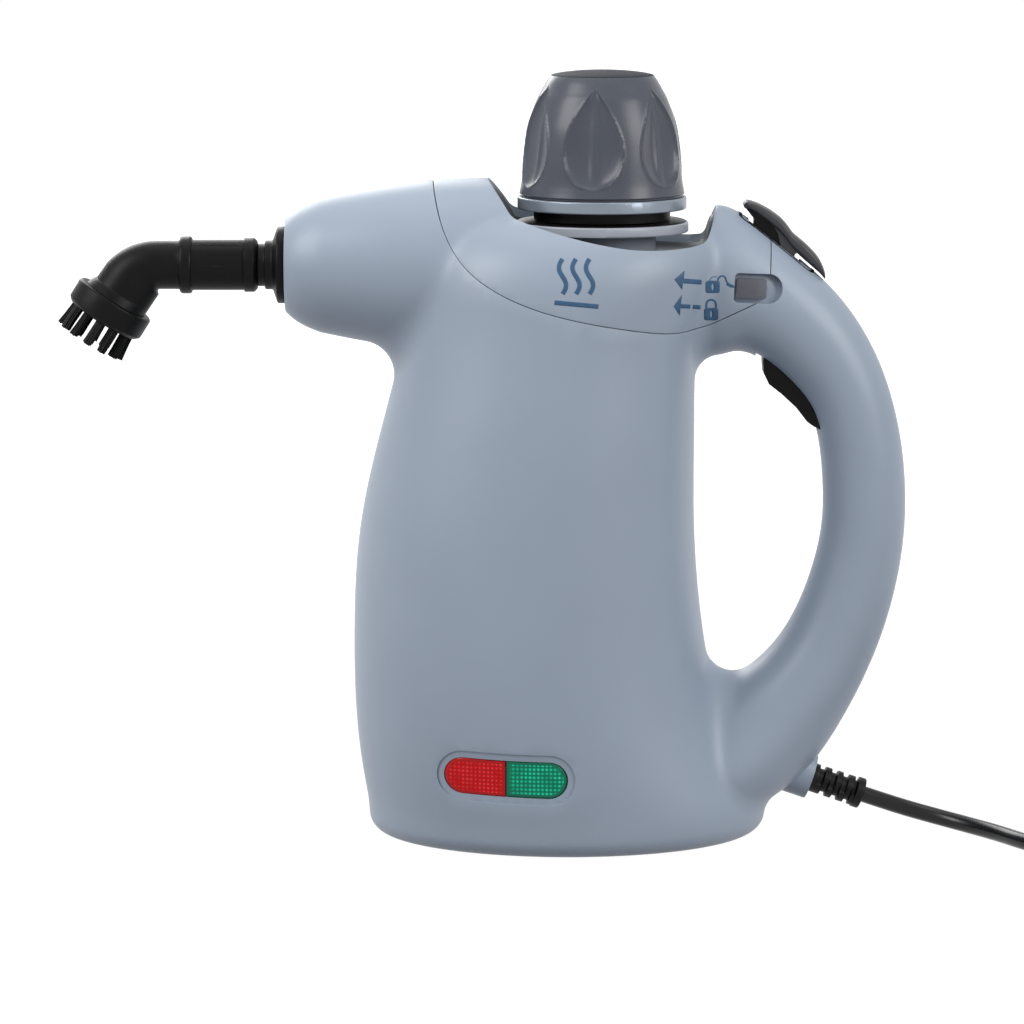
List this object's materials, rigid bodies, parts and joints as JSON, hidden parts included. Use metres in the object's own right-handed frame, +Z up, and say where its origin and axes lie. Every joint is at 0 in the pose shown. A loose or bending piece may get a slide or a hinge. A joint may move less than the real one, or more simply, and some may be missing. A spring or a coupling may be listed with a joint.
{
  "type": "handheld steam cleaner",
  "caption": "Handheld steam cleaner with loop handle, trigger, filler cap in a round pocket, elbow nozzle with brush, signal lamps and mains cord.",
  "frame": {"origin": "on the table plane at the base, straight under the filler cap's axis", "axes": "+X from the nozzle towards the loop handle, +Y across the body away from the lamps, +Z up"},
  "size_m": [0.4712, 0.1826, 0.2709],
  "materials": {
    "housing": "satin",
    "tray": "matt",
    "collar": "satin",
    "cap_grip": "satin",
    "cap_ring": "satin",
    "black_plastic": "satin",
    "slider": "satin",
    "aluminium": "satin",
    "steel": "satin",
    "brass": "satin",
    "rubber": "matt",
    "silicone": "matt",
    "lens_red": "gloss",
    "lens_green": "gloss",
    "lamp_glass": "gloss",
    "inner_white": "matt",
    "bristle": "satin",
    "cord": "satin",
    "blue_plastic": "satin"
  },
  "bodies": {
    "housing": {"left_shell": "housing", "right_shell": "housing", "top_cover": "housing", "filler_tray": "tray", "filler_collar": "collar", "boiler_pot": "aluminium", "boiler_gasket": "silicone", "boiler_lid": "aluminium", "boiler_screws": "steel", "filler_neck": "brass", "heater_element": "aluminium", "thermostat": "inner_white", "thermal_fuse": "inner_white", "valve_body": "brass", "valve_spring": "steel", "steam_tube": "silicone", "nozzle_spigot": "black_plastic", "nozzle_nut": "brass", "nozzle_seal": "silicone", "trigger_pin": "steel", "lever_bezel": "black_plastic", "lever_pin": "steel", "lever_spring": "steel", "lamp_lens_red": "lens_red", "lamp_lens_green": "lens_green", "lamp_holder": "inner_white", "red_lamp": "lamp_glass", "green_lamp": "lamp_glass", "strain_relief": "rubber", "cord_lead": "cord", "cord_clamp": "inner_white", "clamp_screws": "steel", "housing_screws": "steel", "terminal_block": "inner_white", "supply_wires": "blue_plastic", "power_cord": "cord", "power_cord_coil": "cord", "power_cord_end": "cord", "plug_body": "black_plastic", "plug_pins": "brass"},
    "valve_link": {"valve_stem": "steel", "pull_yoke": "inner_white", "yoke_pin": "steel"},
    "trigger": {"trigger": "black_plastic"},
    "thumb_lever": {"thumb_lever": "black_plastic"},
    "lock_slider": {"lock_slider": "slider"},
    "nozzle_ring": {"nozzle_collar": "black_plastic"},
    "nozzle": {"elbow_nozzle": "black_plastic"},
    "brush": {"brush_head": "black_plastic", "brush_bristles": "bristle"},
    "cap_seal": {"cap_gasket": "silicone"},
    "cap_core": {"cap_core": "black_plastic", "cap_spring": "steel", "relief_spring": "steel", "relief_screw": "brass"},
    "cap_grip": {"cap_grip": "cap_grip", "cap_ring": "cap_ring"},
    "relief_valve": {"relief_poppet": "brass"}
  },
  "joints": [
    {"name": "trigger_pull", "type": "hinge", "parent": "housing", "child": "trigger", "pos_m": [0.0805, 0, 0.148], "axis": [0, 1, 0], "range_deg": [0, 8], "stiffness_Nm_per_rad": 2.5, "springref_deg": -3.44},
    {"name": "valve_slide", "type": "slide", "parent": "housing", "child": "valve_link", "axis": [1, 0, 0], "range_m": [0, 0.0058], "deforming": ["valve_spring"]},
    {"name": "lever_rock", "type": "hinge", "parent": "housing", "child": "thumb_lever", "pos_m": [0.065, 0, 0.2015], "axis": [0, 1, 0], "range_deg": [-3.5, 0], "stiffness_Nm_per_rad": 0.4, "springref_deg": 4.58, "deforming": ["lever_spring"]},
    {"name": "lock_slide", "type": "slide", "parent": "housing", "child": "lock_slider", "axis": [1, 0, 0], "range_m": [0, 0.004]},
    {"name": "nozzle_pull", "type": "slide", "parent": "housing", "child": "nozzle_ring", "axis": [-1, 0, 0], "range_m": [0, 0.025]},
    {"name": "nozzle_turn", "type": "hinge", "parent": "nozzle_ring", "child": "nozzle", "pos_m": [-0.13, 0, 0.2023], "axis": [1, 0, 0], "range_deg": [-90, 90]},
    {"name": "brush_pull", "type": "slide", "parent": "nozzle", "child": "brush", "axis": [-0.5344, 0, -0.8453], "range_m": [0, 0.01]},
    {"name": "cap_lift", "type": "slide", "parent": "housing", "child": "cap_seal", "axis": [0, 0, 1], "range_m": [0, 0.012]},
    {"name": "cap_turn", "type": "hinge", "parent": "cap_seal", "child": "cap_core", "pos_m": [0, 0, 0.22], "axis": [0, 0, 1], "range_deg": [0, 1080]},
    {"name": "cap_press", "type": "slide", "parent": "cap_core", "child": "cap_grip", "axis": [0, 0, -1], "range_m": [0, 0.0032], "stiffness_N_per_m": 800, "springref_m": -0.004, "deforming": ["cap_spring"]},
    {"name": "relief_lift", "type": "slide", "parent": "cap_core", "child": "relief_valve", "axis": [0, 0, 1], "range_m": [0, 0.002], "stiffness_N_per_m": 3000, "springref_m": -0.005, "deforming": ["relief_spring"]}
  ],
  "couplings": [
    {"joint": "valve_slide", "follows": "trigger_pull", "m_per_rad": 0.0411},
    {"joint": "cap_lift", "follows": "cap_turn", "m_per_rad": 0.0006366}
  ]
}
